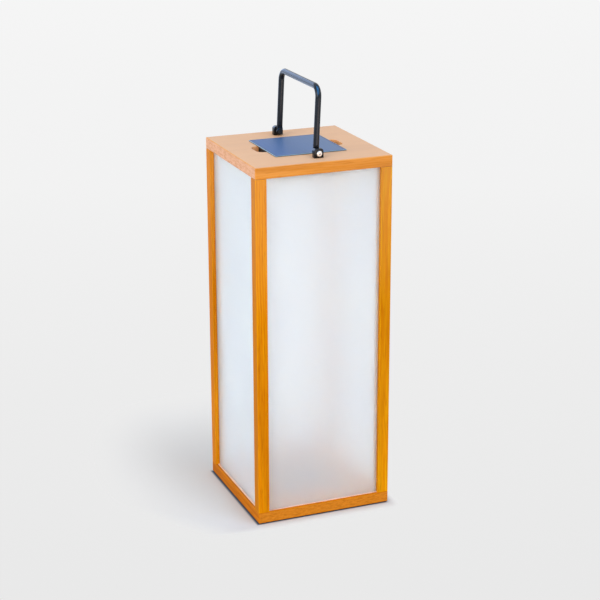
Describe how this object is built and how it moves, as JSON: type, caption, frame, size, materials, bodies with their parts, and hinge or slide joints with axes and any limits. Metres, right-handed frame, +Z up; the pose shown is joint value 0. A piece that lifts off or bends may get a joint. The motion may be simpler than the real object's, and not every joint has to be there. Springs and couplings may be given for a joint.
{
  "type": "solar lantern",
  "caption": "Free-standing square timber lantern with frosted side panes, a lift-out solar light module in its top board and a folding bail handle.",
  "frame": {"origin": "on the ground under the middle of the lantern, in the plane that the foot pads stand on", "axes": "+Z up, -Y out of the front face, +X to the right seen from the front; the handle's pivot axis lies along Y"},
  "size_m": [0.25, 0.25, 0.7711],
  "materials": {
    "timber": "clear-oiled golden hardwood, satin",
    "top_timber": "clear-oiled golden hardwood, satin",
    "frosted_pane": "frosted translucent acrylic",
    "rubber": "matte black rubber",
    "zinc_steel": "zinc-plated steel",
    "dowel_beech": "plain beech",
    "black_coat": "satin black coated steel",
    "bolt_steel": "bright stainless steel",
    "dark_steel": "blackened steel",
    "black_plastic": "fine-textured black moulding",
    "solar_glass": "dark blue solar cells under glossy glass",
    "opal_lens": "opal diffuser",
    "led_board_white": "white circuit board",
    "led_yellow": "phosphor yellow",
    "cell_wrap": "blue sleeve over the cell's can",
    "control_board_green": "green circuit board",
    "button_grey": "grey moulding",
    "lead_red": "insulated wire"
  },
  "bodies": {
    "frame": {"top_board": "top_timber", "base_board": "timber", "post_front_left": "timber", "post_front_right": "timber", "post_back_left": "timber", "post_back_right": "timber", "pane_front": "frosted_pane", "pane_back": "frosted_pane", "pane_left": "frosted_pane", "pane_right": "frosted_pane", "foot_pad_front_left": "rubber", "foot_pad_front_right": "rubber", "foot_pad_back_left": "rubber", "foot_pad_back_right": "rubber", "base_screw_front_left": "zinc_steel", "base_screw_front_right": "zinc_steel", "base_screw_back_left": "zinc_steel", "base_screw_back_right": "zinc_steel", "top_dowel_front_left": "dowel_beech", "top_dowel_front_right": "dowel_beech", "top_dowel_back_left": "dowel_beech", "top_dowel_back_right": "dowel_beech", "pivot_block_front": "black_coat", "pivot_bolt_front": "bolt_steel", "pivot_washer_front": "bolt_steel", "pivot_nut_front": "dark_steel", "pivot_block_back": "black_coat", "pivot_bolt_back": "bolt_steel", "pivot_washer_back": "bolt_steel", "pivot_nut_back": "dark_steel", "block_screw_front_left": "zinc_steel", "block_screw_front_right": "zinc_steel", "block_screw_back_left": "zinc_steel", "block_screw_back_right": "zinc_steel"},
    "handle": {"handle_bail": "black_coat"},
    "light_module": {"module_housing": "black_plastic", "solar_panel": "solar_glass", "cover_seal": "rubber", "module_cover": "black_plastic", "diffuser_lens": "opal_lens", "led_board": "led_board_white", "battery_holder": "black_plastic", "control_board": "control_board_green", "push_switch": "black_plastic", "panel_lead": "lead_red", "battery_lead": "lead_red", "led_lead": "lead_red", "cover_screw_front_left": "zinc_steel", "cover_screw_front_right": "zinc_steel", "cover_screw_back_left": "zinc_steel", "cover_screw_back_right": "zinc_steel", "led_front_left": "led_yellow", "led_front_right": "led_yellow", "led_back_left": "led_yellow", "led_back_right": "led_yellow", "battery_cell_front": "cell_wrap", "battery_cell_back": "cell_wrap"},
    "power_button": {"power_button": "button_grey"}
  },
  "joints": [
    {"name": "handle_swing", "type": "hinge", "parent": "frame", "child": "handle", "pos_m": [0, 0, 0.656], "axis": [0, 1, 0], "range_deg": [-93.75, 88.25]},
    {"name": "module_lift", "type": "slide", "parent": "frame", "child": "light_module", "axis": [0, 0, 1], "range_m": [0, 0.07]},
    {"name": "button_press", "type": "slide", "parent": "light_module", "child": "power_button", "axis": [0, 0, 1], "range_m": [0, 0.0008], "stiffness_N_per_m": 1500}
  ]
}
